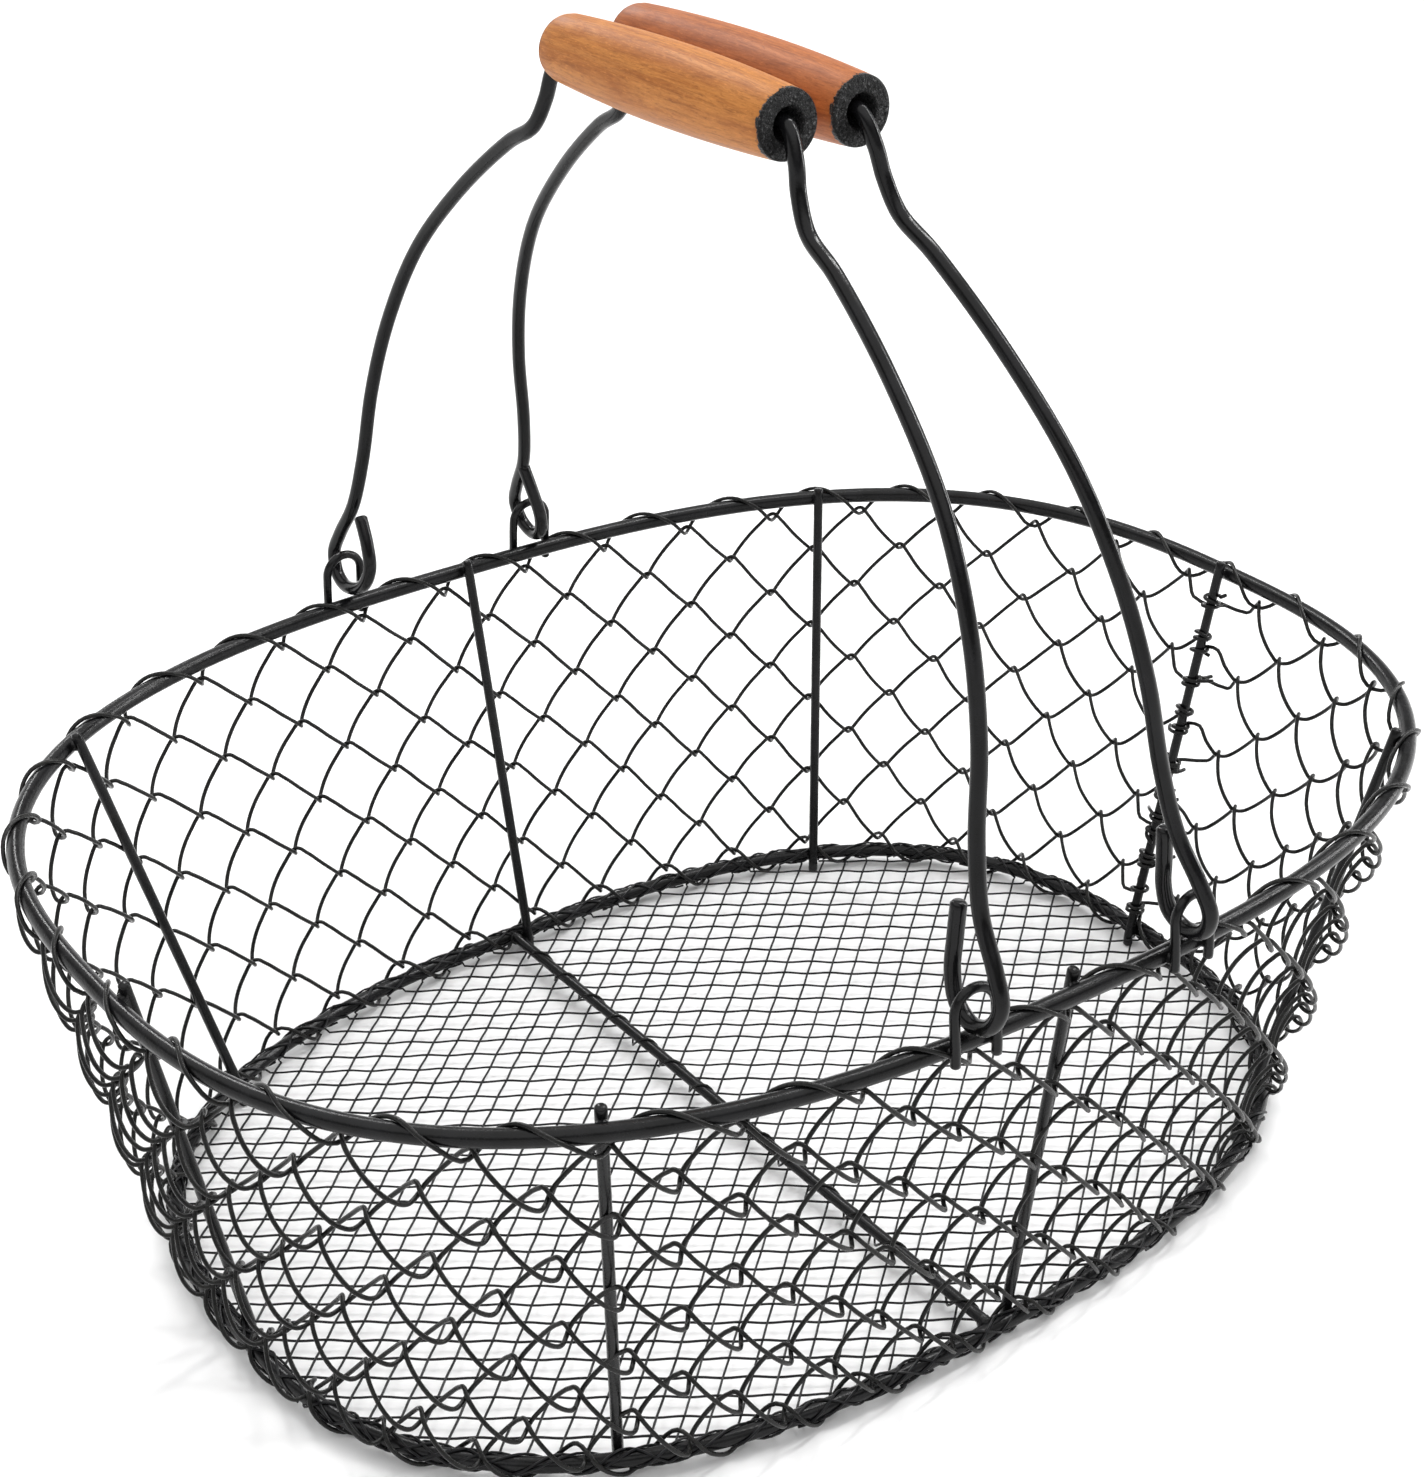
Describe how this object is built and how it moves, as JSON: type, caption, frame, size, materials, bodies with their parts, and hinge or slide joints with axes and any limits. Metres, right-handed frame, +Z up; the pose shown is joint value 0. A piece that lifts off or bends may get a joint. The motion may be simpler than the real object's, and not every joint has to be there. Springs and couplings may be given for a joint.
{
  "type": "wire produce basket",
  "caption": "Oval flared wire basket with linked-wire sides, woven-wire floor, upright rods and two swinging bail handles with turned wooden grips.",
  "frame": {"origin": "on the surface the basket stands on, under the middle of the oval", "axes": "+X along the long axis of the oval, +Y across it along the grips, +Z up"},
  "size_m": [0.348, 0.278, 0.286],
  "materials": {
    "frame_wire": "semi-gloss black paint, slightly grainy",
    "bail_wire": "semi-gloss black paint, slightly grainy",
    "net_wire": "satin black paint over thin wire",
    "floor_wire": "satin black paint over fine woven wire",
    "grip_wood": "clear-sealed turned wood, end grain painted black"
  },
  "bodies": {
    "basket": {"rim_ring": "frame_wire", "base_ring": "frame_wire", "base_cross_bar": "frame_wire", "floor_mesh": "floor_wire", "strut_1": "frame_wire", "strut_2": "frame_wire", "strut_3": "frame_wire", "strut_4": "frame_wire", "strut_5": "frame_wire", "strut_6": "frame_wire", "strut_7": "frame_wire", "strut_8": "frame_wire", "net_wire_1": "net_wire", "net_wire_2": "net_wire", "net_wire_3": "net_wire", "net_wire_4": "net_wire", "net_wire_5": "net_wire", "net_wire_6": "net_wire", "net_wire_7": "net_wire", "net_wire_8": "net_wire", "net_wire_9": "net_wire", "rim_lacing": "net_wire", "base_lacing": "net_wire", "eye_left_back": "frame_wire", "eye_left_front": "frame_wire", "eye_right_back": "frame_wire", "eye_right_front": "frame_wire"},
    "left_bail": {"bail_left": "bail_wire"},
    "left_grip": {"grip_left": "grip_wood"},
    "right_bail": {"bail_right": "bail_wire"},
    "right_grip": {"grip_right": "grip_wood"}
  },
  "joints": [
    {"name": "left_bail_swing", "type": "hinge", "parent": "basket", "child": "left_bail", "pos_m": [-0.036, 0, 0.1169], "axis": [0, -1, 0], "range_deg": [0, 96]},
    {"name": "right_bail_swing", "type": "hinge", "parent": "basket", "child": "right_bail", "pos_m": [0.024, 0, 0.1169], "axis": [0, 1, 0], "range_deg": [0, 96]},
    {"name": "left_grip_spin", "type": "hinge", "parent": "left_bail", "child": "left_grip", "pos_m": [-0.01636, 0, 0.2769], "axis": [0, 1, 0], "continuous": true},
    {"name": "right_grip_spin", "type": "hinge", "parent": "right_bail", "child": "right_grip", "pos_m": [0.0024, 0, 0.27665], "axis": [0, 1, 0], "continuous": true}
  ]
}
